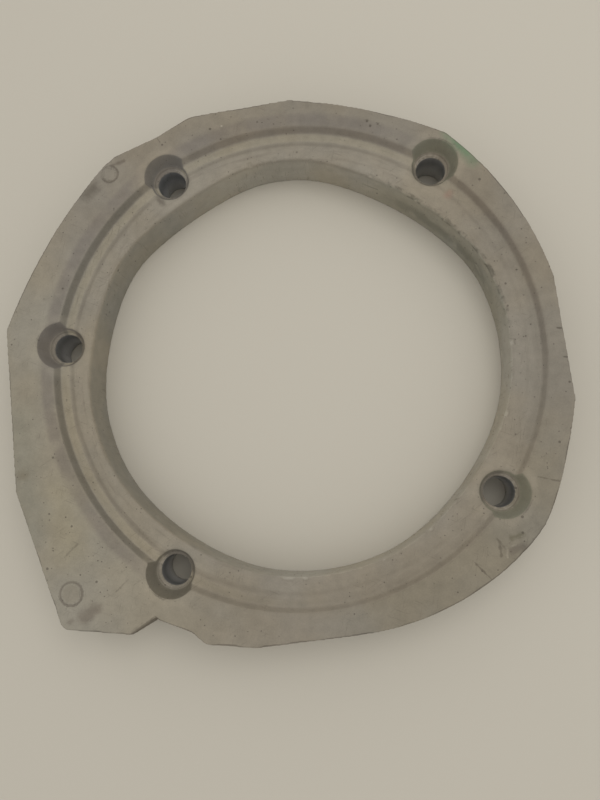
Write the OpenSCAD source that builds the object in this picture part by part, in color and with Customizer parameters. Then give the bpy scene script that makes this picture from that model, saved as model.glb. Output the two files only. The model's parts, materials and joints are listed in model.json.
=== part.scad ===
// Front counterweight ring: one cast block with a stepped recess, five stepped bolt holes
// and an irregular outline. The ring axis is Z, the rear face is Z = 0, the stepped face looks up.

/* [Body] */
// Thickness from the rear face to the front face (mm)
thickness = 50; // [35:1:70]
// Radius of the opening in the middle (mm)
opening_radius = 187.5; // [178:0.5:190]

/* [Front recess] */
// Width of the flat ledge, from the opening to the foot of the step (mm)
ledge_width = 24.5; // [20:0.5:27]
// Height of the step (mm)
step_height = 8.5; // [4:0.5:14]
// Draft of the step, from its foot to its top (mm)
step_draft = 3; // [1:0.5:6]
// Width of the shallow slope above the step (mm)
slope_width = 12; // [4:0.5:14]
// Drop of the shallow slope (mm)
slope_drop = 1.5; // [0.5:0.25:4]
// Distance of the shallow groove from the foot of the step (mm)
groove_inset = 10; // [6:0.5:14]
// Width of the shallow groove (mm)
groove_width = 5; // [2:0.5:8]
// Depth of the shallow groove (mm)
groove_depth = 0.8; // [0.2:0.1:2]

/* [Bolt holes] */
// Radius of each bolt hole (mm)
bolt_hole_radius = 13; // [8:0.5:14]
// Width of the flat seat round each bolt hole (mm)
seat_width = 2.5; // [1:0.25:4]
// Depth of the seat below the ledge of the recess (mm)
seat_depth = 6; // [4:0.5:12]
// Height of the narrow shoulder above the seat (mm)
shoulder_height = 3; // [1:0.5:3.5]
// Width of the narrow shoulder (mm)
shoulder_width = 1; // [0.5:0.25:2]
// Flare of the tapered pocket, from the shoulder to the front face (mm)
pocket_flare = 6; // [3:0.5:8]

/* [Bolt hole 1, upper left] */
// Angle of hole 1 (degrees)
hole_1_angle = 124.4; // [118:0.1:130]
// Distance of hole 1's axis from the edge of the opening (mm)
hole_1_inset = 18.5; // [16:0.5:26]
// Height of the bowed pad in the opening beside hole 1 (mm)
pad_1_height = 6.3; // [1:0.1:9]
// Half width of the bowed pad beside hole 1 (degrees)
pad_1_half_width = 21.5; // [18:0.5:26]
// Turn of the bowed pad away from hole 1 (degrees)
pad_1_turn = 0; // [-6:0.1:6]

/* [Bolt hole 2, upper right] */
// Angle of hole 2 (degrees)
hole_2_angle = 54.3; // [48:0.1:60]
// Distance of hole 2's axis from the edge of the opening (mm)
hole_2_inset = 26; // [16:0.5:28]
// Height of the bowed pad in the opening beside hole 2 (mm)
pad_2_height = 8.2; // [1:0.1:11]
// Half width of the bowed pad beside hole 2 (degrees)
pad_2_half_width = 27.5; // [20:0.5:30]
// Turn of the bowed pad away from hole 2 (degrees)
pad_2_turn = 3.7; // [-6:0.1:6]

/* [Bolt hole 3, left] */
// Angle of hole 3 (degrees)
hole_3_angle = 176.3; // [170:0.1:182]
// Distance of hole 3's axis from the edge of the opening (mm)
hole_3_inset = 22; // [16:0.5:28]
// Height of the bowed pad in the opening beside hole 3 (mm)
pad_3_height = 3.1; // [1:0.1:6]
// Half width of the bowed pad beside hole 3 (degrees)
pad_3_half_width = 19; // [13:0.5:22]
// Turn of the bowed pad away from hole 3 (degrees)
pad_3_turn = -5.8; // [-8:0.1:6]

/* [Bolt hole 4, lower right] */
// Angle of hole 4 (degrees)
hole_4_angle = 326.1; // [320:0.1:332]
// Distance of hole 4's axis from the edge of the opening (mm)
hole_4_inset = 21; // [16:0.5:28]
// Height of the bowed pad in the opening beside hole 4 (mm)
pad_4_height = 3.4; // [1:0.1:6]
// Half width of the bowed pad beside hole 4 (degrees)
pad_4_half_width = 23; // [16:0.5:27]
// Turn of the bowed pad away from hole 4 (degrees)
pad_4_turn = -3.1; // [-6:0.1:6]

/* [Bolt hole 5, lower left] */
// Angle of hole 5 (degrees)
hole_5_angle = 240.9; // [235:0.1:247]
// Distance of hole 5's axis from the edge of the opening (mm)
hole_5_inset = 22; // [16:0.5:28]
// Height of the bowed pad in the opening beside hole 5 (mm)
pad_5_height = 2.9; // [1:0.1:6]
// Half width of the bowed pad beside hole 5 (degrees)
pad_5_half_width = 22; // [16:0.5:27]
// Turn of the bowed pad away from hole 5 (degrees)
pad_5_turn = -2.9; // [-6:0.1:6]

/* [Outline corners, clockwise from the top] */
// Angle of the corner at the top (degrees)
top_angle = 90.7; // [85:0.1:100]
// Width of the ring at the corner at the top (mm)
top_width = 53; // [45:0.5:75]
// Angle of the corner at the upper right (degrees)
upper_right_angle = 55.9; // [48:0.1:62]
// Width of the ring at the corner at the upper right (mm)
upper_right_width = 56; // [50:0.5:75]
// Angle of the upper corner of the right side (degrees)
right_high_angle = 16.5; // [10:0.1:24]
// Width of the ring at the upper corner of the right side (mm)
right_high_width = 45; // [43:0.5:65]
// Angle of the lower corner of the right side (degrees)
right_low_angle = 350.1; // [344:0.1:356]
// Width of the ring at the lower corner of the right side (mm)
right_low_width = 50.5; // [45:0.5:70]
// Angle of the corner at the lower right (degrees)
lower_right_angle = 325.3; // [318:0.1:332]
// Width of the ring at the corner at the lower right (mm)
lower_right_width = 63.5; // [58:0.5:85]
// Angle of the corner at the right end of the bottom (degrees)
bottom_right_angle = 283.6; // [278:0.1:290]
// Width of the ring at the corner at the right end of the bottom (mm)
bottom_right_width = 50; // [47:0.5:70]
// Angle of the lowest corner (degrees)
bottom_angle = 263.1; // [259:0.1:268]
// Width of the ring at the lowest corner (mm)
bottom_width = 57; // [50:0.5:75]
// Angle of the corner at the right of the notch (degrees)
notch_right_angle = 253.6; // [252.5:0.1:256]
// Width of the ring at the corner at the right of the notch (mm)
notch_right_width = 63.5; // [60:0.5:75]
// Angle of the bend of the notch (degrees)
notch_bend_angle = 250.4; // [248:0.1:252]
// Width of the ring at the bend of the notch (mm)
notch_bend_width = 58.5; // [55:0.5:61]
// Angle of the deepest point of the notch (degrees)
notch_apex_angle = 243.2; // [242:0.1:245.5]
// Width of the ring at the deepest point of the notch (mm)
notch_apex_width = 61; // [57:0.5:65]
// Angle of the corner at the left of the notch (degrees)
notch_left_angle = 240.4; // [236:0.1:241.5]
// Width of the ring at the corner at the left of the notch (mm)
notch_left_width = 82; // [75:0.5:95]
// Angle of the foot of the lower left lobe (degrees)
lobe_angle = 230.1; // [224:0.1:234]
// Width of the ring at the foot of the lower left lobe (mm)
lobe_width = 114; // [100:0.5:135]
// Angle of the lower corner of the left side (degrees)
left_low_angle = 205.8; // [198:0.1:214]
// Width of the ring at the lower corner of the left side (mm)
left_low_width = 81.5; // [70:0.5:100]
// Angle of the upper corner of the left side (degrees)
left_high_angle = 173.9; // [165:0.1:182]
// Width of the ring at the upper corner of the left side (mm)
left_high_width = 75; // [60:0.5:95]
// Angle of the start of the corner at the upper left (degrees)
upper_left_start_angle = 134.1; // [132.5:0.1:140]
// Width of the ring at the start of the corner at the upper left (mm)
upper_left_start_width = 67.5; // [60:0.5:80]
// Angle of the end of the corner at the upper left (degrees)
upper_left_end_angle = 130.9; // [126:0.1:132]
// Width of the ring at the end of the corner at the upper left (mm)
upper_left_end_width = 67; // [60:0.5:80]
// Angle of the slight hollow left of the top (degrees)
hollow_angle = 121.4; // [118:0.1:124]
// Width of the ring at the slight hollow left of the top (mm)
hollow_width = 58; // [52:0.5:66]
// Angle of the corner left of the top (degrees)
upper_angle = 113.1; // [108:0.1:116]
// Width of the ring at the corner left of the top (mm)
upper_width = 61; // [54:0.5:75]

/* [Outline rounding and bows] */
// Rounding of the corner at the right of the notch (mm)
notch_right_round = 10; // [2:1:12]
// Rounding of the bend of the notch (mm)
notch_bend_round = 14; // [4:1:20]
// Rounding of the deepest point of the notch (mm)
notch_apex_round = 2; // [0.5:0.5:6]
// Rounding of the corner at the left of the notch (mm)
notch_left_round = 3; // [1:0.5:10]
// Rounding of the foot of the lower left lobe (mm)
lobe_round = 10; // [2:1:20]
// Rounding of the corner left of the top (mm)
upper_round = 20; // [5:1:40]
// Width of the bevel on the notch's left flank, at the deepest point (mm)
bevel_width = 3.5; // [1:0.25:6]
// Width of the bevel at the lobe's end of the flank (mm)
bevel_end_width = 1; // [0.25:0.25:3]
// Height of the bevel at the deepest point (mm)
bevel_height = 12; // [4:0.5:20]
// Bow of the side from the top to the upper right corner (mm)
bow_top = 5.5; // [2:0.1:12]
// Bow of the upper right side (mm)
bow_upper_right = 11.5; // [4:0.1:18]
// Bow of the lower right side (mm)
bow_right_low = 3.1; // [1:0.1:8]
// Bow of the long lower right side (mm)
bow_lower_right = 16.6; // [6:0.1:20]
// Bow of the upper left side (mm)
bow_upper_left = 8.4; // [2:0.1:14]

/* [Mould marks] */
// Angle of the large ring mark on the lobe (degrees)
mark_large_angle = 227.1; // [224:0.1:230]
// Distance of the large ring mark's centre from the edge of the opening (mm)
mark_large_inset = 88; // [70:0.5:96]
// Outer radius of the large ring mark (mm)
mark_large_radius = 11; // [6:0.5:14]
// Angle of the small ring mark at the upper left (degrees)
mark_small_angle = 134.4; // [132:0.1:137]
// Distance of the small ring mark's centre from the edge of the opening (mm)
mark_small_inset = 57; // [54:0.5:58]
// Outer radius of the small ring mark (mm)
mark_small_radius = 8.5; // [5:0.5:9]
// Width of the line of a ring mark (mm)
mark_line = 1.6; // [0.8:0.2:3]
// Depth of the line of a ring mark (mm)
mark_depth = 0.5; // [0.2:0.1:1]

/* [Hidden] */
$fn = 180;
// How far a cutter runs past the face that it cuts
over = 1;
// How far the ends of a bow sink below the corners, so that it crosses its side cleanly
tuck = 0.2;
// How far a bowed pad's cutter runs past the ends of its arc (degrees)
spare_angle = 1;
body_colour = [0.53, 0.50, 0.44];

step_radius = opening_radius + ledge_width;
step_top_radius = step_radius + step_draft;
slope_radius = step_top_radius + slope_width;
step_top_z = thickness - slope_drop;
ledge_z = step_top_z - step_height;
groove_radius = step_radius - groove_inset;

seat_z = ledge_z - seat_depth;
shoulder_z = seat_z + shoulder_height;
seat_radius = bolt_hole_radius + seat_width;
shoulder_radius = seat_radius + shoulder_width;
pocket_radius = shoulder_radius + pocket_flare;
// The pocket widens evenly from the shoulder to the front face
pocket_gain = pocket_flare / (thickness - shoulder_z);

// Angle of each bolt hole and its distance from the ring axis
holes = [
    [hole_1_angle, opening_radius + hole_1_inset],
    [hole_2_angle, opening_radius + hole_2_inset],
    [hole_3_angle, opening_radius + hole_3_inset],
    [hole_4_angle, opening_radius + hole_4_inset],
    [hole_5_angle, opening_radius + hole_5_inset]
];

// Angle, height and half width of each bowed pad in the opening
pads = [
    [hole_1_angle + pad_1_turn, pad_1_height, pad_1_half_width],
    [hole_2_angle + pad_2_turn, pad_2_height, pad_2_half_width],
    [hole_3_angle + pad_3_turn, pad_3_height, pad_3_half_width],
    [hole_4_angle + pad_4_turn, pad_4_height, pad_4_half_width],
    [hole_5_angle + pad_5_turn, pad_5_height, pad_5_half_width]
];

notch_apex = rim(notch_apex_angle, notch_apex_width);
notch_left = rim(notch_left_angle, notch_left_width);

// Point, rounding and bow of the side that follows, clockwise from the top
corners = [
    [rim(top_angle, top_width), 0, bow_top],
    [rim(upper_right_angle, upper_right_width), 0, bow_upper_right],
    [rim(right_high_angle, right_high_width), 0, 0],
    [rim(right_low_angle, right_low_width), 0, bow_right_low],
    [rim(lower_right_angle, lower_right_width), 0, bow_lower_right],
    [rim(bottom_right_angle, bottom_right_width), 0, 0],
    [rim(bottom_angle, bottom_width), 0, 0],
    [rim(notch_right_angle, notch_right_width), notch_right_round, 0],
    [rim(notch_bend_angle, notch_bend_width), notch_bend_round, 0],
    [notch_apex, notch_apex_round, 0],
    [notch_left, notch_left_round, 0],
    [rim(lobe_angle, lobe_width), lobe_round, 0],
    [rim(left_low_angle, left_low_width), 0, 0],
    [rim(left_high_angle, left_high_width), 0, bow_upper_left],
    [rim(upper_left_start_angle, upper_left_start_width), 0, 0],
    [rim(upper_left_end_angle, upper_left_end_width), 0, 0],
    [rim(hollow_angle, hollow_width), 0, 0],
    [rim(upper_angle, upper_width), upper_round, 0]
];
count = len(corners);

function polar(r, a) = [r * cos(a), r * sin(a)];
// The point at an angle, where the ring has a given width
function rim(a, width) = polar(opening_radius + width, a);
function unit(v) = v / norm(v);
function spot(i) = corners[(i + count) % count][0];
function side(i) = norm(spot(i + 1) - spot(i));
function back(i) = unit(spot(i - 1) - spot(i));
function ahead(i) = unit(spot(i + 1) - spot(i));
function half_angle(i) = acos(back(i) * ahead(i)) / 2;
function turns_in(i) = cross(back(i), ahead(i)) < 0;
// A rounding takes up no more than half of either side that it joins
function rounding(i) = min(corners[i][1], tan(half_angle(i)) * min(side(i - 1), side(i)) / 2);
function cut_back(i) = rounding(i) / tan(half_angle(i));
function round_centre(i) = spot(i) + unit(back(i) + ahead(i)) * rounding(i) / sin(half_angle(i));
function corner_points(i) = corners[i][1] == 0
    ? [spot(i)]
    : [spot(i) + back(i) * cut_back(i), spot(i) + ahead(i) * cut_back(i)];

// Straight-sided outline through the corners, cut back where a rounding follows
module straight_outline() {
    polygon([for (i = [0 : count - 1]) each corner_points(i)]);
}

// Slice of a large disc that bows the side after corner i outwards
module bowed_side(i) {
    bow = corners[i][2];
    run = spot(i + 1) - spot(i);
    half = norm(run) / 2;
    rise = bow + tuck;
    radius = (half * half + rise * rise) / (2 * rise);
    translate((spot(i) + spot(i + 1)) / 2)
        rotate(atan2(run[1], run[0]))
            intersection() {
                translate([0, bow - radius])
                    circle(r = radius);
                translate([-half, -over])
                    square([2 * half, bow + 2 * over]);
            }
}

// The block before anything is taken out of it
module block() {
    difference() {
        union() {
            linear_extrude(thickness)
                straight_outline();
            for (i = [0 : count - 1])
                if (corners[i][2] > 0)
                    linear_extrude(thickness)
                        bowed_side(i);
            for (i = [0 : count - 1])
                if (corners[i][1] > 0 && !turns_in(i))
                    translate(round_centre(i))
                        cylinder(r = rounding(i), h = thickness);
        }
        for (i = [0 : count - 1])
            if (corners[i][1] > 0 && turns_in(i))
                translate([round_centre(i)[0], round_centre(i)[1], -over])
                    cylinder(r = rounding(i), h = thickness + 2 * over);
    }
}

// Pad that narrows the opening beside a bolt hole by a flatter arc
module bowed_pad(middle, height, half_width) {
    inner = opening_radius - height;
    rise = inner - opening_radius * cos(half_width);
    shift = height * (opening_radius + inner) / (2 * rise);
    wedge = half_width + spare_angle;
    corner_reach = (opening_radius + over) / cos(wedge);
    difference() {
        polygon([
            [0, 0],
            polar(corner_reach, middle - wedge),
            polar(corner_reach, middle + wedge)
        ]);
        translate(polar(-shift, middle))
            circle(r = inner + shift);
    }
}

// The opening in the middle, narrowed by the pads
module opening() {
    difference() {
        circle(r = opening_radius);
        for (pad = pads)
            bowed_pad(pad[0], pad[1], pad[2]);
    }
}

// Bevel along the front edge of the notch's left flank, narrowing towards the lobe
module notch_bevel() {
    along = unit(notch_left - notch_apex);
    inward = [along[1], -along[0]];
    start = notch_apex + inward * bevel_width;
    edge = notch_left + inward * bevel_end_width - start;
    lean = atan2(bevel_width, bevel_height);
    reach = bevel_height / cos(lean) + over;
    translate([start[0], start[1], thickness])
        rotate(atan2(edge[1], edge[0]))
            rotate([lean, 0, 0])
                translate([0, 0, -reach])
                    cube([norm(edge) + notch_left_round, 2 * bevel_width, 2 * reach]);
}

// Section of the recess in the front face: slope, step and flat ledge
module recess() {
    rotate_extrude()
        polygon([
            [0, ledge_z],
            [step_radius, ledge_z],
            [step_top_radius, step_top_z],
            [slope_radius, thickness],
            [slope_radius, thickness + over],
            [0, thickness + over]
        ]);
}

// Shallow groove in the ledge
module groove() {
    rotate_extrude()
        polygon([
            [groove_radius - groove_width / 2, ledge_z + over],
            [groove_radius - groove_width / 2, ledge_z],
            [groove_radius, ledge_z - groove_depth],
            [groove_radius + groove_width / 2, ledge_z],
            [groove_radius + groove_width / 2, ledge_z + over]
        ]);
}

// Bolt hole, flat seat, narrow shoulder and tapered pocket, as one turned core pin
module core_pin() {
    rotate_extrude()
        polygon([
            [0, -over],
            [bolt_hole_radius, -over],
            [bolt_hole_radius, seat_z],
            [seat_radius, seat_z],
            [seat_radius, shoulder_z],
            [shoulder_radius, shoulder_z],
            [pocket_radius + pocket_gain * over, thickness + over],
            [0, thickness + over]
        ]);
}

// Ring line that a mould pin leaves in the front face
module ring_mark(place, radius) {
    translate([place[0], place[1], thickness - mark_depth])
        difference() {
            cylinder(r = radius, h = mark_depth + over);
            translate([0, 0, -over])
                cylinder(r = radius - mark_line, h = mark_depth + 3 * over);
        }
}

module counterweight() {
    color(body_colour)
        difference() {
            block();
            translate([0, 0, -over])
                linear_extrude(thickness + 2 * over)
                    opening();
            notch_bevel();
            recess();
            groove();
            for (hole = holes)
                translate(polar(hole[1], hole[0]))
                    core_pin();
            ring_mark(rim(mark_large_angle, mark_large_inset), mark_large_radius);
            ring_mark(rim(mark_small_angle, mark_small_inset), mark_small_radius);
        }
}

counterweight();
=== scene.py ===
# %% [markdown]
# # A cast counterweight ring
# This block hangs on the front of a washing machine's tub and steadies it. It is one piece of
# concrete, cast in a steel mould: a flat ring with an irregular outline, a stepped recess round
# the opening and five bolt holes that were left by stepped pins. The exact solid comes from the
# frame. This lesson gives it what a mould and years of use leave behind: soft edges, chips,
# pinholes, cracks, stains and a rub of green paint.

# %% Load the frame
import json

import bmesh
import bpy
import numpy as np
from mathutils import Matrix, Vector, noise


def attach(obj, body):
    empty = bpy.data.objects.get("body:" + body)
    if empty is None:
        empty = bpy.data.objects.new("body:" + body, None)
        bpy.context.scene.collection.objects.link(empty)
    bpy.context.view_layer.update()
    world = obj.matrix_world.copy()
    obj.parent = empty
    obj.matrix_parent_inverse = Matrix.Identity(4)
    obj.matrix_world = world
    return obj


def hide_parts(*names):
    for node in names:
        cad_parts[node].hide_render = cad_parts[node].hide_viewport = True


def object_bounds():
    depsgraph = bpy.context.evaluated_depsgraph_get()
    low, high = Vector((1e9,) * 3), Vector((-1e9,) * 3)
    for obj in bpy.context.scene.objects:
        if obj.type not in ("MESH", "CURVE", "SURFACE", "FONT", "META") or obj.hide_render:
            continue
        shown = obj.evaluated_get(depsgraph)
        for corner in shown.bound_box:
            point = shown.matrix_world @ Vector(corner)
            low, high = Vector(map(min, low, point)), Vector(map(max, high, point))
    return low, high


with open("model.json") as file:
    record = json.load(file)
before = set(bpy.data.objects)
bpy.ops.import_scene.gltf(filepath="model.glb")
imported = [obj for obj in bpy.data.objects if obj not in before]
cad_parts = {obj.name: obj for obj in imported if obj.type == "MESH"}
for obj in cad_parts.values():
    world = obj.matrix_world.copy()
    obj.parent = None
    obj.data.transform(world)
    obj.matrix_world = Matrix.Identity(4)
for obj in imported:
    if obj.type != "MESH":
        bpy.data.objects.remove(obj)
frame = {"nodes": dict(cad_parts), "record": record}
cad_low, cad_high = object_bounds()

MM = 0.001
scene = bpy.context.scene
cad_ring = frame["nodes"]["counterweight"]
bolt_holes = [mount for mount in frame["record"]["mounts"] if mount["kind"] == "bore"]
FACE_Z = cad_high.z / MM
print("CAD box in mm:", [round(v / MM, 1) for v in cad_high - cad_low], "bolt holes:", len(bolt_holes))

# %% [markdown]
# ## The camera
# The ring lies flat and the camera looks almost straight down on it from about half a metre, so
# the walls on every side lean away from the middle of the picture. A long lens would flatten
# that. The camera therefore stands close, with the wide lens of a phone. Its right edge is kept
# level with the X axis, because a track constraint has no clear idea of "up" this near the vertical.

# %% Camera
PICTURE_SIZE = (600, 800)
FOCAL_LENGTH_PX = 605
SENSOR_MM = 36
camera_spot = Vector((48.5, -111, 560.3)) * MM
look_at = Vector((6.3, -39, 50)) * MM

forward = (look_at - camera_spot).normalized()
right = forward.cross(Vector((0, 1, 0))).normalized()
up = right.cross(forward)
camera_data = bpy.data.cameras.new("camera")
camera_data.sensor_width = SENSOR_MM
camera_data.lens = SENSOR_MM * FOCAL_LENGTH_PX / max(PICTURE_SIZE)
camera_data.clip_start = 0.01
camera = bpy.data.objects.new("camera", camera_data)
scene.collection.objects.link(camera)
turn = Matrix((right, up, -forward)).transposed().to_4x4()
camera.matrix_world = Matrix.Translation(camera_spot) @ turn
scene.camera = camera
print("lens in mm:", round(camera_data.lens, 1), "height in mm:", round(camera_spot.z / MM))

# %% [markdown]
# ## Floor and light
# A pale matt floor lies under a soft overcast world, which does most of the work: it darkens the
# foot of every wall evenly. One weaker lamp at the upper right gives the light a direction. Its
# strength is worked out from its distance, so that with the world's light a flat surface renders
# about as bright as its colour is written.

# %% Floor and light
FLOOR_SIZE = 6
WORLD_LEVEL = 0.88
WORLD_TINT = (1, 0.99, 0.98, 1)
LAMP_LEVEL = 0.15
LAMP_SIZE = 0.7
lamp_spot = Vector((0.35, 0.4, 1.2))


def srgb(red, green, blue):
    """A colour as a picture shows it, from 0 to 255, on the shaders' linear scale."""
    shares = [channel / 255 for channel in (red, green, blue)]
    return tuple(s / 12.92 if s <= 0.04045 else ((s + 0.055) / 1.055) ** 2.4 for s in shares) + (1,)


def principled(name, colour, roughness):
    """A new material and its shader."""
    material = bpy.data.materials.new(name)
    material.use_nodes = True
    shader = material.node_tree.nodes["Principled BSDF"]
    shader.inputs["Base Color"].default_value = colour
    shader.inputs["Roughness"].default_value = roughness
    return material, shader


floor_material, _ = principled("pale_floor", srgb(186, 180, 166), 0.7)
bpy.ops.mesh.primitive_plane_add(size=FLOOR_SIZE)
floor = bpy.context.object
floor.name = "floor"
floor.data.materials.append(floor_material)

world = bpy.data.worlds.new("soft_room")
world.use_nodes = True
sky = world.node_tree.nodes["Background"]
sky.inputs["Color"].default_value = WORLD_TINT
sky.inputs["Strength"].default_value = WORLD_LEVEL
scene.world = world

lamp_data = bpy.data.lights.new("broad_lamp", "AREA")
lamp_data.size = LAMP_SIZE
distance = lamp_spot.length
lamp_data.energy = LAMP_LEVEL * np.pi ** 2 * distance ** 3 / lamp_spot.z
lamp = bpy.data.objects.new("broad_lamp", lamp_data)
scene.collection.objects.link(lamp)
lamp.location = lamp_spot
lamp.rotation_euler = (-lamp_spot).to_track_quat("-Z", "Y").to_euler()
scene.view_settings.view_transform = "Standard"
print("lamp power in W:", round(lamp_data.energy, 1))

# %% [markdown]
# ## From an exact solid to a casting
# The solid's edges are perfect and its faces are long thin triangles, which can't be dented. A
# bevel would round the edges, but evenly, and it trips over the small steps in the holes. A voxel
# remesh gives an even skin of small squares instead, fine enough to wear and chip.

# %% Even skin
VOXEL = 1.0 * MM
WELD_REACH = 0.001 * MM


def baked(mesh, name, kind, **settings):
    """The mesh that is left when one modifier has been applied."""
    work = bpy.data.objects.new(name, mesh)
    scene.collection.objects.link(work)
    modifier = work.modifiers.new(name, kind)
    for key, value in settings.items():
        setattr(modifier, key, value)
    graph = bpy.context.evaluated_depsgraph_get()
    result = bpy.data.meshes.new_from_object(work.evaluated_get(graph))
    bpy.data.objects.remove(work)
    return result


welded = bmesh.new()
welded.from_mesh(cad_ring.data)
bmesh.ops.remove_doubles(welded, verts=welded.verts, dist=WELD_REACH)
closed = bpy.data.meshes.new("closed")
welded.to_mesh(closed)
welded.free()
skin = baked(closed, "skin", "REMESH", mode="VOXEL", voxel_size=VOXEL)

points = np.empty(len(skin.vertices) * 3)
skin.vertices.foreach_get("co", points)
points = points.reshape(-1, 3) / MM
ends = np.empty(len(skin.edges) * 2, int)
skin.edges.foreach_get("vertices", ends)
ends = ends.reshape(-1, 2)
print("skin:", len(points), "points")

# %% [markdown]
# ## Soft turns
# The solid's pads meet the round opening at faint corners, and at the lower right two bowed sides
# of the outline meet at another. The real block shows none there. Each wall is read off the skin
# degree by degree and evened out, and the points near it move along. All of this is in millimetres.

# %% Ease the turns
EASE_REACH = 14
WALL_RADIUS = 189
OUTER_WALL_RADIUS = 227.5
SOFT_CORNER = 325.3
OPENING_SPREAD = 5
CORNER_SPREAD = 3
READ_FROM_Z = 10
READ_TO_Z = 30
radius = np.hypot(points[:, 0], points[:, 1])
angle = np.degrees(np.arctan2(points[:, 1], points[:, 0])) % 360


def ramp(values, start, end):
    """0 at start, 1 at end, smooth between them."""
    t = np.clip((values - start) / (end - start), 0, 1)
    return t * t * (3 - 2 * t)


def wall_by_degree(on_wall):
    """The mean radius of a wall in each of 360 one-degree steps."""
    step = angle[on_wall].astype(int)
    return np.bincount(step, radius[on_wall], 360) / np.bincount(step, minlength=360)


def evened(values, spread):
    """Values round a circle, each replaced by a weighted mean of those near it."""
    steps = np.arange(-3 * spread, 3 * spread + 1)
    weights = np.exp(-0.5 * (steps / spread) ** 2)
    return sum(w * np.roll(values, s) for w, s in zip(weights / weights.sum(), steps))


def at_points(values):
    """Values round a circle, read at the angle of each point."""
    return np.interp(angle, np.arange(360) + 0.5, values, period=360)


mid_height = (points[:, 2] > READ_FROM_Z) & (points[:, 2] < READ_TO_Z)
inner = wall_by_degree(mid_height & (radius < WALL_RADIUS))
beyond = radius - at_points(inner)
shift = at_points(evened(inner, OPENING_SPREAD) - inner) * ramp(beyond, EASE_REACH, 0)

outer = wall_by_degree(mid_height & (radius > OUTER_WALL_RADIUS))
outer_shift = evened(outer, CORNER_SPREAD) - outer
near_corner = ramp(np.abs(angle - SOFT_CORNER), 12, 7)
shift += at_points(outer_shift) * near_corner * ramp(at_points(outer) - radius, EASE_REACH, 0)
points[:, :2] *= (1 + shift / radius)[:, None]
print("points moved by up to", round(np.abs(shift).max(), 2), "mm")

# %% [markdown]
# ## Worn edges
# Concrete never keeps a sharp arris. Moving each point towards the middle of its neighbours wears
# the edges and leaves flat faces alone. Slow noise decides how many times a place is worn, so an
# edge is crisp here and blunt there. The inner edge of the ledge was knocked more than the rest.
# How far a point moves is kept as well: it tells the finish where the edges and corners are.

# %% Wear
LIGHT_WEAR = 2
HEAVY_WEAR = 9
WEAR_SIZE = 22
LEDGE_EDGE_WEAR = 26
neighbour_count = np.bincount(ends.ravel(), minlength=len(points))


def neighbour_mean(values):
    """The mean of each point's neighbours, for one value per point."""
    sums = np.bincount(ends[:, 0], values[ends[:, 1]], len(values))
    sums += np.bincount(ends[:, 1], values[ends[:, 0]], len(values))
    return sums / neighbour_count


def clouds(places, size, seed=0):
    """Smooth noise from about -1 to 1, with features of the given size."""
    offset = Vector((1.7, 3.1, 5.3)) * seed
    return np.array([noise.noise(Vector(p) + offset) for p in places / size])


def smoothed(places, times):
    """Each place moved towards its neighbours, as many times as its entry in times says."""
    for step in range(int(np.ceil(times.max()))):
        middle = np.stack([neighbour_mean(places[:, k]) for k in range(3)], axis=1)
        share = np.clip(times - step, 0, 1)[:, None] * 0.5
        places = places + (middle - places) * share
    return places


wear = ramp(clouds(points, WEAR_SIZE), -0.3, 0.5)
times = LIGHT_WEAR + (HEAVY_WEAR - LIGHT_WEAR) * wear
near_ledge_edge = ramp(beyond, 7, 4) * ramp(points[:, 2], 28, 36)
times = times + near_ledge_edge * LEDGE_EDGE_WEAR
sharp = points
points = smoothed(points, times)
print("edges worn", int(times.min()), "to", int(times.max()), "times")

# %% [markdown]
# ## Chips, pits and mould marks
# Noise picks places along the worn edges and drives the wear further there, which leaves small
# chips. At the upper right the ledge's inner edge crumbled along a whole stretch. Air bubbles left
# a few pits big enough to carve, and mould pins left two ring lines. The skin is too coarse to hold
# the solid's half millimetre lines, so they are pressed in again here. A flake came off at the
# lower right.

# %% Chips and pits
CHIP_SIZE = 8
CHIP_DEPTH = 1.1
CRUMBLE_SIZE = 9
CRUMBLE_DEPTH = 0.7
FLAKE_RADIUS = 9
FLAKE_DEPTH = 0.7
RING_LINE = 1.3
RING_DEPTH = 0.6
LEDGE_Z = 40
LARGE_RING_RADIUS = 9.6
SMALL_RING_RADIUS = 7.6
large_ring = (-187.5, -202.1)
small_ring = (-170.9, 174.6)
flake = (179.6, -161.8)
pits = {
    "first of three": (67.2, 215.7, 1.7),
    "second of three": (69.8, 211.2, 1.6),
    "third of three": (76.7, 212.3, 1.4),
    "on the ledge": (2.5, 194.2, 1.3),
}

moved = points - sharp
rounding = np.linalg.norm(moved, axis=1)
inward = moved / np.maximum(rounding, 1e-6)[:, None]
radial = points * (1, 1, 0) / np.maximum(radius, 1)[:, None]
# The rear edge, which the block lies on, is left out
edge_wear = rounding * ramp(points[:, 2], 2, 6)
chips = ramp(clouds(points, CHIP_SIZE, 1), 0.3, 0.6) * ramp(edge_wear, 0.25, 0.6) * CHIP_DEPTH
stretch = ramp(angle, 14, 24) * ramp(angle, 66, 56)
crumbled = stretch * ramp(beyond, 7, 1) * ramp(points[:, 2], 26, 34)
crumbs = crumbled * ramp(clouds(points, CRUMBLE_SIZE, 2), -0.3, 0.6) * CRUMBLE_DEPTH
points = points + inward * chips[:, None] + (radial - (0, 0, 0.6)) * crumbs[:, None]

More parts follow.
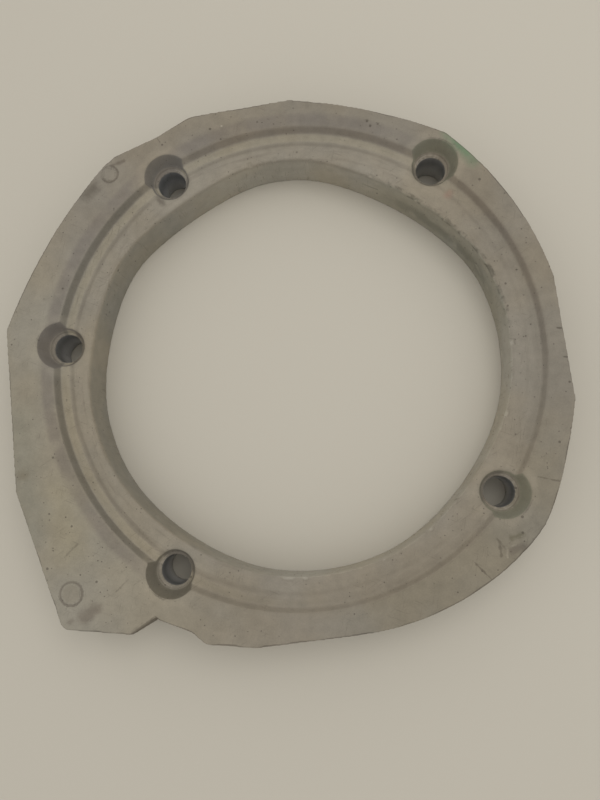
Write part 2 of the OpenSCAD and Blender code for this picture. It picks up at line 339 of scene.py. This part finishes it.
on_front = sharp[:, 2] > LEDGE_Z - 2
lower = np.zeros(len(points))
for x, y, size in pits.values():
    lower += 0.8 * size * ramp(np.hypot(points[:, 0] - x, points[:, 1] - y), size, 0.3 * size)
for (x, y), size in ((large_ring, LARGE_RING_RADIUS), (small_ring, SMALL_RING_RADIUS)):
    off_line = np.abs(np.hypot(points[:, 0] - x, points[:, 1] - y) - size)
    lower += RING_DEPTH * ramp(off_line, RING_LINE, 0)
off_flake = np.hypot(points[:, 0] - flake[0], points[:, 1] - flake[1]) + 3 * clouds(points, 5, 3)
lower += FLAKE_DEPTH * ramp(off_flake, FLAKE_RADIUS, FLAKE_RADIUS - 3)
points[:, 2] -= lower * on_front
print("chipped points:", int((chips > 0.2).sum()), "crumbled:", int((crumbs > 0.2).sum()))

# %% [markdown]
# ## A lighter mesh
# The flat faces no longer need a square for every millimetre. A collapse decimation keeps the
# points where the surface bends and drops the rest. The measure of how far each point was worn
# rides along as an attribute, and the shader reads it as the mask of the edges.

# %% Finish the mesh
MOST_TRIANGLES = 180_000
skin.vertices.foreach_set("co", (points * MM).ravel())
skin.update()
skin.attributes.new("edge", "FLOAT", "POINT").data.foreach_set("value", np.clip(edge_wear, 0, 1))
triangles = sum(len(face.vertices) - 2 for face in skin.polygons)
thin = baked(skin, "thin", "DECIMATE", ratio=MOST_TRIANGLES / triangles)
thin.shade_smooth()
ring = bpy.data.objects.new("counterweight_casting", thin)
scene.collection.objects.link(ring)
print("triangles:", triangles, "thinned to", len(thin.polygons), [a.name for a in thin.attributes])

# %% [markdown]
# ## Small tools for shaders
# A shader here is a graph of a few hundred nodes. These helpers add a node with its inputs in one
# line, where an input is either a plain value or the socket that feeds it. All places are measured
# in millimetres from the ring's axis, so a stain is written down where a ruler would find it. A
# smooth step stays between 0 and 1 by itself, so no mask is clamped. That keeps the shader small:
# one that grows too large renders black.

# %% Shader helpers
def add(tree, kind, inputs, **settings):
    """A new node; each input is a value or the socket that feeds it."""
    made = tree.nodes.new("ShaderNode" + kind)
    for key, value in settings.items():
        setattr(made, key, value)
    for key, value in inputs.items():
        if isinstance(value, bpy.types.NodeSocket):
            tree.links.new(value, made.inputs[key])
        else:
            made.inputs[key].default_value = value
    return made


def calc(tree, operation, *values):
    """The result of a Math node."""
    return add(tree, "Math", dict(enumerate(values)), operation=operation).outputs[0]


def vector(tree, operation, *values):
    """The result of a Vector Math node, a number where the operation gives one."""
    outputs = add(tree, "VectorMath", dict(enumerate(values)), operation=operation).outputs
    return outputs["Value" if operation in ("DOT_PRODUCT", "DISTANCE", "LENGTH") else "Vector"]


def scaled(tree, value, factor):
    """A vector made longer or shorter."""
    return add(tree, "VectorMath", {0: value, "Scale": factor}, operation="SCALE").outputs["Vector"]


def between(tree, value, start, end):
    """0 at start and 1 at end, smooth between them and level beyond."""
    inputs = {"Value": value, "From Min": start, "From Max": end}
    made = add(tree, "MapRange", inputs, interpolation_type="SMOOTHSTEP", clamp=False)
    return made.outputs["Result"]


def mixed(tree, share, first, second):
    """A mixture of two colours: the first at share 0, the second at share 1."""
    return add(tree, "Mix", {"Factor": share, 6: first, 7: second}, data_type="RGBA").outputs[2]


def speckle(tree, place, size, detail=2.0):
    """Noise from 0 to 1, with features of about the given size in mm."""
    inputs = {"Vector": place, "Scale": 1 / size, "Detail": detail}
    return add(tree, "TexNoise", inputs).outputs["Fac"]


def group(name, inputs, outputs):
    """An empty node group, with the sockets to read from and to write to."""
    tree = bpy.data.node_groups.new(name, "ShaderNodeTree")
    for label, kind in inputs.items():
        tree.interface.new_socket(label, in_out="INPUT", socket_type="NodeSocket" + kind)
    for label, kind in outputs.items():
        tree.interface.new_socket(label, in_out="OUTPUT", socket_type="NodeSocket" + kind)
    return tree, tree.nodes.new("NodeGroupInput").outputs, tree.nodes.new("NodeGroupOutput").inputs


# %% [markdown]
# ## Cement
# Cement paste dries unevenly. Broad clouds follow the way the mix was poured, small patches
# follow the wet spots, and the sand shows as a fine grain. A slow drift between a warm and a cool
# grey stops the whole from looking like one tint that is only made lighter and darker.

# %% Cement mottling
BROAD_SIZE = 60
DRIFT_SIZE = 70
PATCH_SIZE = 9
GRAIN_SIZE = 1.2
LOWEST_LEVEL = 0.61
BROAD_GAIN = 0.26
PATCH_GAIN = 0.34
GRAIN_GAIN = 0.24
COOL_CAST = (0.985, 1.0, 1.03, 1)
WARM_CAST = (1.02, 1.0, 0.965, 1)
cement, given, out = group(
    "Cement mottling",
    {"Place": "Vector", "Colour": "Color"},
    {"Colour": "Color", "Grain": "Float"},
)
broad = speckle(cement, given["Place"], BROAD_SIZE, 3)
patch = speckle(cement, given["Place"], PATCH_SIZE, 4)
grain = speckle(cement, given["Place"], GRAIN_SIZE, 2)
level = calc(cement, "MULTIPLY_ADD", broad, BROAD_GAIN, LOWEST_LEVEL)
level = calc(cement, "MULTIPLY_ADD", patch, PATCH_GAIN, level)
level = calc(cement, "MULTIPLY_ADD", grain, GRAIN_GAIN, level)
elsewhere = vector(cement, "ADD", given["Place"], (300, 0, 0))
drift = between(cement, speckle(cement, elsewhere, DRIFT_SIZE, 2), 0.35, 0.65)
toned = vector(cement, "MULTIPLY", given["Colour"], mixed(cement, drift, COOL_CAST, WARM_CAST))
cement.links.new(scaled(cement, toned, level), out["Colour"])
cement.links.new(grain, out["Grain"])
print("group:", cement.name, len(cement.nodes), "nodes")

# %% [markdown]
# ## Pinholes
# Air bubbles that touched the mould leave pinholes. Cell noise in space has one centre per cell,
# and a ball round that centre cuts the surface as a round hole, or misses it. Each cell draws its
# own size. The draw is cubed, so that most holes are tiny and a few are large.

# %% Pinholes
pinholes, given, out = group(
    "Pinholes",
    {"Place": "Vector", "Cell": "Float", "Largest": "Float"},
    {"Mask": "Float"},
)
per_mm = calc(pinholes, "DIVIDE", 1.0, given["Cell"])
cells = add(pinholes, "TexVoronoi", {"Vector": given["Place"], "Scale": per_mm}).outputs
chance = add(pinholes, "SeparateColor", {0: cells["Color"]}).outputs[0]
size = calc(pinholes, "MULTIPLY", calc(pinholes, "POWER", chance, 3.0), given["Largest"])
from_centre = calc(pinholes, "MULTIPLY", cells["Distance"], given["Cell"])
hole = between(pinholes, from_centre, size, calc(pinholes, "MULTIPLY", size, 0.5))
pinholes.links.new(hole, out["Mask"])
print("group:", pinholes.name, len(pinholes.nodes), "nodes")

# %% [markdown]
# ## Strokes
# Cracks, scratches, smudges and rubs are all strokes: a line from one place to another, with a
# width, a softness and a ragged side. A round spot is a very short stroke. The group measures how
# far a place is from the nearest point of the line. It gives a mask only, so the material decides
# what colour a mark has.

# %% Strokes
stroke, given, out = group(
    "Stroke",
    {"Place": "Vector", "Start": "Vector", "End": "Vector", "Width": "Float", "Softness": "Float",
     "Tear": "Float"},
    {"Mask": "Float"},
)
along = vector(stroke, "SUBTRACT", given["End"], given["Start"])
from_start = vector(stroke, "SUBTRACT", given["Place"], given["Start"])
reached = vector(stroke, "DOT_PRODUCT", from_start, along)
share = calc(stroke, "DIVIDE", reached, vector(stroke, "DOT_PRODUCT", along, along))
share = calc(stroke, "MINIMUM", calc(stroke, "MAXIMUM", share, 0.0), 1.0)
off_line = vector(stroke, "DISTANCE", from_start, scaled(stroke, along, share))
off_line = calc(stroke, "ADD", given["Tear"], off_line)
core = calc(stroke, "MULTIPLY", given["Width"], calc(stroke, "SUBTRACT", 1.0, given["Softness"]))
stroke.links.new(between(stroke, off_line, given["Width"], core), out["Mask"])
print("group:", stroke.name, len(stroke.nodes), "nodes")

# %% [markdown]
# ## Rings
# Much of what the mould left runs round an axis: the ledge, the step, the seats of the bolts and
# the marks of its pins. The group gives the mask of such a ring, from an inner to an outer radius,
# with both sides softened.

# %% Rings
band, given, out = group(
    "Ring band",
    {"Place": "Vector", "Centre": "Vector", "Inner": "Float", "Outer": "Float", "Soft": "Float"},
    {"Mask": "Float"},
)
from_centre = vector(band, "SUBTRACT", given["Place"], given["Centre"])
reach = vector(band, "LENGTH", vector(band, "MULTIPLY", from_centre, (1, 1, 0)))
sides = []
for edge, to_none, to_full in (("Inner", "SUBTRACT", "ADD"), ("Outer", "ADD", "SUBTRACT")):
    none = calc(band, to_none, given[edge], given["Soft"])
    full = calc(band, to_full, given[edge], given["Soft"])
    sides.append(between(band, reach, none, full))
band.links.new(calc(band, "MULTIPLY", *sides), out["Mask"])
print("group:", band.name, len(band.nodes), "nodes")

# %% [markdown]
# ## Scuffs
# Dragging the block over a floor leaves short fine scratches in a few directions. Noise that is
# squeezed hard across one direction turns into such scratches when only its peaks are kept. Slow
# noise leaves some places bare.

# %% Scuffs
SCRATCH_SIZE = (16, 0.9, 16)
BARE_SIZE = 28
scuffs, given, out = group("Scuffs", {"Place": "Vector"}, {"Mask": "Float"})
scratched = 0.0
for degrees in (35, -20, 80):
    inputs = {"Vector": given["Place"], "Rotation": (0, 0, np.radians(degrees)), "Scale": SCRATCH_SIZE}
    squeezed = add(scuffs, "Mapping", inputs, vector_type="TEXTURE").outputs[0]
    peaks = between(scuffs, speckle(scuffs, squeezed, 1.0, 1), 0.66, 0.76)
    scratched = calc(scuffs, "MAXIMUM", peaks, scratched)
bare = between(scuffs, speckle(scuffs, given["Place"], BARE_SIZE, 2), 0.42, 0.58)
scuffs.links.new(calc(scuffs, "MULTIPLY", scratched, bare), out["Mask"])
print("group:", scuffs.name, len(scuffs.nodes), "nodes")

# %% [markdown]
# ## The concrete
# One material covers the whole block. Its colour is built up the way a model maker paints: a base
# tone, then thin layers, each with a mask that says where it lies. The helpers make the masks that
# are used most: a ring about an axis, and the side of the block that lies towards some angle. They
# all work from places on the block itself, so the paint stays where it is from every side.

# %% Concrete material
BASE_TONE = srgb(129, 122, 109)
AXIS = (0, 0, 0)
concrete, concrete_shader = principled("cast_concrete", BASE_TONE, 0.9)
concrete_shader.inputs["Specular IOR Level"].default_value = 0.2
tree = concrete.node_tree
object_place = add(tree, "TexCoord", {}).outputs["Object"]
place = scaled(tree, object_place, 1 / MM)
# The noises read the same places through a node of their own
grain_place = add(tree, "Mapping", {"Vector": object_place, "Scale": (1 / MM,) * 3}).outputs[0]
height = add(tree, "SeparateXYZ", {0: place}).outputs["Z"]
flat_place = vector(tree, "MULTIPLY", place, (1, 1, 0))
outward = vector(tree, "NORMALIZE", flat_place)
from_axis = vector(tree, "LENGTH", flat_place)
normal = add(tree, "NewGeometry", {}).outputs["Normal"]
steep = between(tree, add(tree, "SeparateXYZ", {0: normal}).outputs["Z"], 0.85, 0.6)
edges = add(tree, "Attribute", {}, attribute_name="edge").outputs["Fac"]
rims = between(tree, edges, 0.12, 0.45)


def both(first, second):
    """The mask of the places that lie in two masks at once."""
    return calc(tree, "MULTIPLY", first, second)


def paint(colour, layers):
    """The colour under layers of paint: each has a mask, a new colour and a thickness from 0 to 1."""
    for mask, new_colour, thickness in layers:
        colour = mixed(tree, both(mask, thickness), colour, new_colour)
    return colour


def round_band(centre, inner, outer, soft):
    """The mask of a ring about a centre."""
    inputs = {"Place": place, "Centre": centre, "Inner": inner, "Outer": outer, "Soft": soft}
    return add(tree, "Group", inputs, node_tree=band).outputs["Mask"]


def towards(degrees, start, full):
    """The mask of the side that lies towards an angle: 0 at start degrees off it, 1 at full."""
    turn = np.radians(degrees)
    likeness = vector(tree, "DOT_PRODUCT", outward, (np.cos(turn), np.sin(turn), 0))
    none, all_of_it = np.cos(np.radians((start, full))).tolist()
    return between(tree, likeness, none, all_of_it)


print("material:", concrete.name)

# %% [markdown]
# ## Face, slope and step
# The mould gave each zone its own skin. The face is a mid grey-brown, dusty on the left and warmer
# on the right. The slope above the step is painted darker in patches on its upper left side, as painted
# shade. The step's wall is painted darker as painted shade, most on the left, and paler at the lower
# right as painted light.

# %% Face, slope and step
STEP_FOOT = 212
STEP_TOP = 215.2
SLOPE_TOP = 226
step_wall = round_band(AXIS, STEP_FOOT, STEP_TOP, 0.6)
# Painted shade on the slope above the step, in patches on its upper left side
slope_shade_patches = between(tree, speckle(tree, grain_place, 25, 3), 0.2, 0.5)
slope = both(round_band(AXIS, STEP_TOP, SLOPE_TOP, 3.0), both(towards(150, 110, 70), slope_shade_patches))

base = add(tree, "RGB", {}).outputs[0]
base.default_value = BASE_TONE
colour = paint(base, (
    (towards(205, 65, 20), srgb(140, 134, 119), 0.75),
    (towards(45, 80, 30), srgb(122, 115, 101), 0.35),
    (towards(312, 40, 15), srgb(122, 116, 101), 0.6),
    (slope, srgb(115, 108, 99), 0.7),
    # Painted shade on the step's wall, darkest on the left, and painted light at its lower right
    (step_wall, srgb(126, 118, 106), 0.8),
    (both(step_wall, towards(185, 80, 40)), srgb(109, 105, 94), 0.7),
    (both(step_wall, towards(300, 75, 40)), srgb(136, 129, 115), 0.65),
))
print("nodes so far:", len(tree.nodes))

# %% [markdown]
# ## Ledge and opening
# The ledge was rubbed paler, with faint streaks round the axis and a pale line along the foot of the
# step. Beside that line runs a dark stripe of painted shade, for a shallow groove that the skin is too
# coarse to hold. The streaks come from noise in four dimensions. Its fourth coordinate is the radius,
# drawn out, so the noise changes quickly outwards and slowly round the axis. The wall of the opening
# has a plain skin, with painted shade on its left, painted light at its top and stronger painted light
# at its lower right.

# %% Ledge and opening
WALL_BAND = (170, 190)
LEDGE_BAND = (178, 211.5)
STREAK_BAND = (186, 211)
PALE_LINE = (204.5, 211)
GROOVE_SHADE_BAND = (200.5, 203.5)
STREAK_WIDTH = 2.6
STREAK_LENGTH = 28
ledge = round_band(AXIS, *LEDGE_BAND, 0.8)
upper_left_side = towards(150, 165, 80)
rise = calc(tree, "MULTIPLY", from_axis, STREAK_LENGTH / STREAK_WIDTH)
inputs = {"Vector": grain_place, "W": rise, "Scale": 1 / STREAK_LENGTH, "Detail": 3.0}
in_circles = add(tree, "TexNoise", inputs, noise_dimensions="4D").outputs["Fac"]
streaks = between(tree, in_circles, 0.5, 0.72)
below_ledge = between(tree, height, 38.0, 33.0)
inside = round_band(AXIS, *WALL_BAND, 1.0)
wall = both(inside, below_ledge)
# Painted light on the lower right of the opening's wall
wall_painted_light = both(both(inside, between(tree, height, 39.6, 37.6)), towards(318, 85, 30))

colour = paint(colour, (
    (ledge, srgb(136, 129, 115), 0.9),
    (both(ledge, towards(330, 100, 50)), srgb(130, 123, 110), 0.75),
    (both(round_band(AXIS, *STREAK_BAND, 1.0), both(streaks, upper_left_side)), srgb(118, 110, 98), 0.45),
    (both(round_band(AXIS, *PALE_LINE, 1.2), towards(150, 130, 70)), srgb(148, 140, 121), 0.6),
    # Painted shade for a shallow groove in the ledge, beside the pale line
    (both(round_band(AXIS, *GROOVE_SHADE_BAND, 1.5), upper_left_side), srgb(116, 109, 96), 0.6),
    (wall, srgb(141, 136, 123), 0.85),
    # Painted shade on the left of the wall; painted light at its top and, stronger, at its lower right
    (both(wall, towards(185, 70, 35)), srgb(127, 123, 112), 0.75),
    (both(wall, towards(84, 42, 16)), srgb(151, 145, 131), 0.75),
    (wall_painted_light, srgb(159, 153, 139), 0.8),
))
print("nodes so far:", len(tree.nodes))

# %% [markdown]
# ## Round the bolt holes
# A pin made each hole and a washer sat in it. The steep wall of the pocket is painted dark, as
# painted shade, and the side of the seat under the ledge is painted darker. The bore has the cool
# grey of a smooth skin, and further down it is painted paler, as painted light against the shade deep
# in the bore. The two rims of each seat are painted bright, as a painted highlight, and paler rings
# lie a little way round each hole. The places of the holes come from the frame's mounts, so the
# painted shade follows the holes. The pocket's wall is a cone, so the mask of its painted shade
# widens with height too.

# %% Round the bolt holes
BORE_GREY = srgb(108, 108, 106)
# Painted light for the lower bore, against the shade deep in it
BORE_PAINTED_LIGHT = srgb(182, 180, 175)
RIM_HIGHLIGHT = srgb(162, 155, 143)
SEAT_DARK = srgb(92, 87, 78)
PALE_RING_TONE = srgb(146, 138, 122)
SHOULDER_Z = 37
SHOULDER_REACH = 3.5
POCKET_FLARE = 6
POCKET_GAIN = POCKET_FLARE / (FACE_Z - SHOULDER_Z)
# Tones of painted shade for the pockets' steep walls, one per hole
pocket_shade = (
    srgb(102, 98, 91),
    srgb(109, 107, 92),
    srgb(104, 98, 90),
    srgb(117, 115, 99),
    srgb(97, 92, 80),
)
sunk = both(steep, between(tree, height, 49.6, 48.8))
under_seat = between(tree, height, 34.0, 32.0)
deep = between(tree, height, 27.0, 8.0)
above_shoulder = calc(tree, "SUBTRACT", height, SHOULDER_Z)
holes = [(Vector(mount["pos_m"]) / MM, mount["dims"]["r_mm"]) for mount in bolt_holes]


def either(first, second):
    """The mask of the places that lie in one mask or the other."""
    return calc(tree, "MAXIMUM", first, second)


pale_rings, in_bores, rim_highlight, dark_seat_side = 0.0, 0.0, 0.0, 0.0
for hole, bore in holes:
    from_hole = vector(tree, "SUBTRACT", place, hole)
    past_hole = vector(tree, "DOT_PRODUCT", from_hole, hole.xy.to_3d().normalized())
    ledge_side = between(tree, past_hole, -3.0, -9.0)
    pale_rings = either(round_band(hole, bore + 7, bore + 15, 3.0), pale_rings)
    in_bores = either(round_band(hole, 0, bore + 0.6, 0.5), in_bores)
    # Mask of the painted highlight on the two narrow rims of each seat
    rim_highlight = either(round_band(hole, bore - 1, bore + 4.5, 0.3), rim_highlight)
    dark_seat_side = either(both(round_band(hole, bore - 0.5, bore + 4.4, 0.4), ledge_side), dark_seat_side)
# Paler rings a little way round each hole
colour = paint(colour, [(pale_rings, PALE_RING_TONE, 0.3)])
# Painted shade on each pocket's steep wall
for (hole, bore), dirt in zip(holes, pocket_shade):
    cone = calc(tree, "MULTIPLY_ADD", above_shoulder, POCKET_GAIN, bore + SHOULDER_REACH + 0.8)
    colour = paint(colour, [(both(round_band(hole, bore + 3.2, cone, 0.5), sunk), dirt, 0.85)])
in_bores = both(in_bores, under_seat)
colour = paint(colour, (
    (in_bores, BORE_GREY, 0.95),
    # Painted light deeper in the bore, where the shade is deepest
    (both(in_bores, deep), BORE_PAINTED_LIGHT, 0.9),
    # Painted highlight on the seat rims
    (both(rim_highlight, rims), RIM_HIGHLIGHT, 0.75),
    # The side of each seat toward the ledge, painted darker
    (dark_seat_side, SEAT_DARK, 0.6),
))
print("holes dressed:", len(holes))

# %% [markdown]
# ## What happened to it
# Every mark that can be told apart is one stroke: where it starts and ends, how wide, soft and
# ragged it is, its colour and its strength. Cracks are thin and dark, the paint rub is wide and
# soft. Marks with a place of their own tell more of a history than noise does. Most lie on the
# face, so only their X and Y are written down. Marks of one colour share one layer of paint.

# %% Marks on the face
DARK = srgb(80, 73, 64)
BROWN = srgb(108, 99, 87)
PALE = srgb(164, 157, 142)
face_marks = {
    "paint rub": ((140, 199), (160, 174), 11, 1.0, 6, srgb(100, 120, 96), 0.6),
    "heart of the rub": ((146, 191), (154, 182), 7, 1.0, 5, srgb(92, 122, 92), 0.45),
    "smudge at the upper left": ((-191, 156), (-185, 161), 10, 1.0, 7, srgb(98, 91, 80), 0.8),
    "tail of the small ring": ((-169, 183), (-158, 187), 3, 1.0, 3, srgb(102, 94, 83), 0.8),
    "cool left edge": ((-242, -55), (-228, -150), 26, 1.0, 10, srgb(124, 122, 110), 0.6),
    "smudge on the left": ((-238, -103), (-236, -103), 8, 1.0, 6, srgb(112, 105, 90), 0.6),
    "smudge by the large ring": ((-175, -221), (-166, -214), 9, 0.9, 8, BROWN, 0.65),
    "dark corner": ((-187, -224.6), (-186, -224), 4, 1.0, 4, BROWN, 0.5),
    "warm patch on the lobe": ((-203, -120), (-190, -165), 30, 1.0, 8, srgb(144, 136, 114), 0.5),
    "white fleck": ((-66.8, 217.4), (-66.2, 217.4), 1.0, 0.9, 1.0, srgb(186, 180, 166), 0.5),
    "upper tick": ((223, 19.9), (228, 19.3), 1.2, 0.9, 1.4, DARK, 0.75),
    "lower tick": ((227, -5.1), (232, -5.6), 1.2, 0.9, 1.4, DARK, 0.75),
    "right crack": ((200.6, -104.1), (217.7, -108), 1.0, 0.9, 2.8, DARK, 0.5),
    "lower right crack": ((146.2, -171.5), (160.5, -186.2), 1.1, 1.0, 3.4, DARK, 0.6),
    "upper crack": ((-128.2, 209.9), (-124.4, 204.4), 1.0, 0.9, 2.0, DARK, 0.6),
    "head of the branched crack": ((165.9, -154), (167.8, -156.4), 1.7, 1.0, 4.0, DARK, 0.5),
    "stem of the branched crack": ((167.8, -156.4), (168.6, -167.7), 1.6, 1.0, 4.4, DARK, 0.5),
    "arm of the branched crack": ((168.6, -158), (172.5, -161.5), 1.4, 1.0, 4.0, DARK, 0.4),
    "flake": ((178, -163.5), (187, -160), 6, 0.9, 5, srgb(102, 95, 85), 0.75),
    "flake's pale rim": ((173, -161.2), (181, -158.3), 1.4, 1.0, 3.0, PALE, 0.4),
    "flake's pale side": ((174.2, -161.5), (173.4, -168.5), 1.4, 1.0, 3.0, PALE, 0.4),
    "dirt above the flake": ((177.5, -152.8), (186, -150.4), 3.8, 1.0, 5, srgb(96, 91, 75), 0.75),
    "fleck in the dirt": ((185, -151.8), (187.5, -150.8), 0.9, 0.9, 1.2, PALE, 0.55),
    "long scratch on the lobe": ((-152, -203), (-139, -190), 1.1, 1.0, 5, DARK, 0.3),
    "short scratch on the lobe": ((-195, -172), (-184, -161), 1.1, 1.0, 5, DARK, 0.3),
}
torn = calc(tree, "SUBTRACT", speckle(tree, grain_place, 4, 3), 0.5)


def stroke_mask(start, end, width, softness, raggedness):
    """The mask of one stroke."""
    inputs = {"Place": place, "Start": start, "End": end, "Width": width, "Softness": softness}
    inputs["Tear"] = calc(tree, "MULTIPLY", torn, raggedness)
    return add(tree, "Group", inputs, node_tree=stroke).outputs["Mask"]


marks_by_tint = {}
for start, end, *manner, tint, thickness in face_marks.values():
    mask = stroke_mask((*start, FACE_Z), (*end, FACE_Z), *manner)
    marks_by_tint[tint] = either(both(mask, thickness), marks_by_tint.get(tint, 0.0))
colour = paint(colour, [(mask, tint, 1.0) for tint, mask in marks_by_tint.items()])
print("marks on the face:", len(face_marks), "in", len(marks_by_tint), "colours")

# %% [markdown]
# ## Marks in other places
# Four marks lie lower: a stain and some dirt on the ledge, a scratch on the wall of the opening, and
# painted shade on the notch's steep flank. The pins' two ring lines are rings rather than strokes. Dirt
# sits in them, and the small one was rubbed out at its upper left.

# %% Other marks
RUBBED_OUT = (-0.7, 0.7, 0)
RING_DIRT = srgb(106, 98, 86)
other_marks = {
    "reddish stain": ((138, 146, LEDGE_Z), (140, 148, LEDGE_Z), 6, 1.0, 4, srgb(142, 118, 104), 0.5),
    "dirt below a seat": ((-127, 153, LEDGE_Z), (-122.5, 149, LEDGE_Z), 4.5, 1.0, 5, srgb(98, 91, 80), 0.7),
    "scratch on the wall": ((52.3, 177.5, 20), (76.1, 163.4, 23), 1.6, 0.8, 2.5, DARK, 0.6),
    # Painted shade on the notch's steep flank
    "painted shade on the notch's flank": ((-112, -220.5, 43), (-131, -232.5, 45), 7, 0.5, 3, srgb(86, 80, 71), 0.75),
}
layers = [(stroke_mask(*shape), tint, thickness) for *shape, tint, thickness in other_marks.values()]
colour = paint(colour, layers)


def ring_line(centre, size):
    """The mask of the line that a mould pin left round a centre."""
    return round_band((*centre, 0), size - 0.9, size + 0.9, 0.8)


from_small_ring = vector(tree, "SUBTRACT", place, (*small_ring, 0))
unbroken = between(tree, vector(tree, "DOT_PRODUCT", from_small_ring, RUBBED_OUT), 4.0, 1.0)
colour = paint(colour, (
    (both(ring_line(small_ring, SMALL_RING_RADIUS), unbroken), RING_DIRT, 0.7),
    (ring_line(large_ring, LARGE_RING_RADIUS), RING_DIRT, 0.65),
    (round_band((*large_ring, 0), 0, LARGE_RING_RADIUS - 2, 1.5), srgb(126, 118, 102), 0.5),
))
print("other marks:", len(other_marks), "strokes and 2 rings")

# %% [markdown]
# ## Edges
# The crumbled stretch of the ledge shows the grey-green inside of the concrete. A band of painted
# shade, in patches, runs along the middle of the wall below it, and a broken dark line lies where it
# meets the ledge. A dark line of painted shade runs along the outer edge all round. The mask of the
# edges is the measure of wear that the mesh carries. Last come the fine scuffs, which lie all over
# the block.

# %% Edges
CRUMBLED_BAND = (170, 193)
OUTSIDE_BAND = (231, 330)
crumbling = both(round_band(AXIS, *CRUMBLED_BAND, 1.0), towards(38, 34, 22))
raw = both(crumbling, either(steep, below_ledge))
# Painted shade along the lower middle of the crumbled stretch's wall
wall_shade_band = both(between(tree, height, 3.0, 15.0), between(tree, height, 32.0, 18.0))
wall_shade_band = both(wall_shade_band, towards(40, 26, 8))
wall_shade_band = both(wall_shade_band, between(tree, speckle(tree, grain_place, 14, 3), 0.3, 0.55))
ragged = between(tree, speckle(tree, grain_place, 8, 4), 0.42, 0.62)
outside = round_band(AXIS, *OUTSIDE_BAND, 1.0)
# Mask of the painted shade along the outer edge
outer_edge_shade = both(between(tree, edges, 0.1, 0.3), outside)
scratches = add(tree, "Group", {"Place": place}, node_tree=scuffs).outputs["Mask"]
colour = paint(colour, (
    (raw, srgb(136, 133, 120), 0.7),
    # Painted shade on the wall below the crumbled stretch
    (both(raw, wall_shade_band), srgb(112, 110, 98), 0.75),
    (both(crumbling, both(rims, ragged)), srgb(80, 77, 67), 0.6),
    # Painted shade along the outer edge
    (outer_edge_shade, srgb(80, 74, 66), 0.5),
    (scratches, srgb(104, 97, 85), 0.35),
))
print("nodes so far:", len(tree.nodes))

# %% [markdown]
# ## Grain, holes and finish
# Over everything go the cement's mottling and the pinholes: fine and coarse ones everywhere, and
# more on the lobe, on the right of the ledge and on the outer walls, where the mix was wetter and
# air could not rise. The pinholes and the carved pits are painted dark, as painted shade inside them.
# The same masks drive the bump, so that a hole that looks dark is also sunk, and the grain makes the
# surface a little more or less matt.

# %% Finish of the concrete
HOLE_SHADE = srgb(74, 68, 60)
BUMP_DEPTH = 0.35 * MM
GRAIN_RELIEF = 0.35
SCRATCH_RELIEF = 0.3


def holes_of(cell, largest):
    """The mask of pinholes with one in each cell, up to a largest radius, in mm."""
    inputs = {"Place": place, "Cell": cell, "Largest": largest}
    return add(tree, "Group", inputs, node_tree=pinholes).outputs["Mask"]


lobe = stroke_mask((-205, -120, FACE_Z), (-150, -205, FACE_Z), 50, 0.8, 0)
wetter = either(lobe, both(ledge, towards(0, 50, 25)))
wetter = either(wetter, both(steep, outside))
air_holes = either(holes_of(3.6, 0.8), holes_of(11.0, 1.7))
air_holes = either(air_holes, both(holes_of(5.0, 1.3), wetter))
mottled = add(tree, "Group", {"Place": place, "Colour": colour}, node_tree=cement).outputs
# Painted shade in the pinholes
colour = paint(mottled["Colour"], [(air_holes, HOLE_SHADE, 0.6)])
# Painted shade in the carved pits
for x, y, size in pits.values():
    colour = paint(colour, [(round_band((x, y, 0), 0, 0.5 * size, 0.8), HOLE_SHADE, 0.65)])

relief = calc(tree, "SUBTRACT", calc(tree, "MULTIPLY", mottled["Grain"], GRAIN_RELIEF), air_holes)
relief = calc(tree, "MULTIPLY_ADD", scratches, -SCRATCH_RELIEF, relief)
bump = add(tree, "Bump", {"Height": relief, "Distance": BUMP_DEPTH, "Strength": 0.8})
matt = calc(tree, "MULTIPLY_ADD", mottled["Grain"], 0.2, 0.8)
tree.links.new(colour, concrete_shader.inputs["Base Color"])
tree.links.new(matt, concrete_shader.inputs["Roughness"])
tree.links.new(bump.outputs["Normal"], concrete_shader.inputs["Normal"])
thin.materials.clear()
thin.materials.append(concrete)
print("concrete:", len(tree.nodes), "nodes")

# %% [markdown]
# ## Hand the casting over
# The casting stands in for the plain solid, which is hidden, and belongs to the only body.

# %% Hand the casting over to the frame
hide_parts("counterweight")
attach(ring, "root")
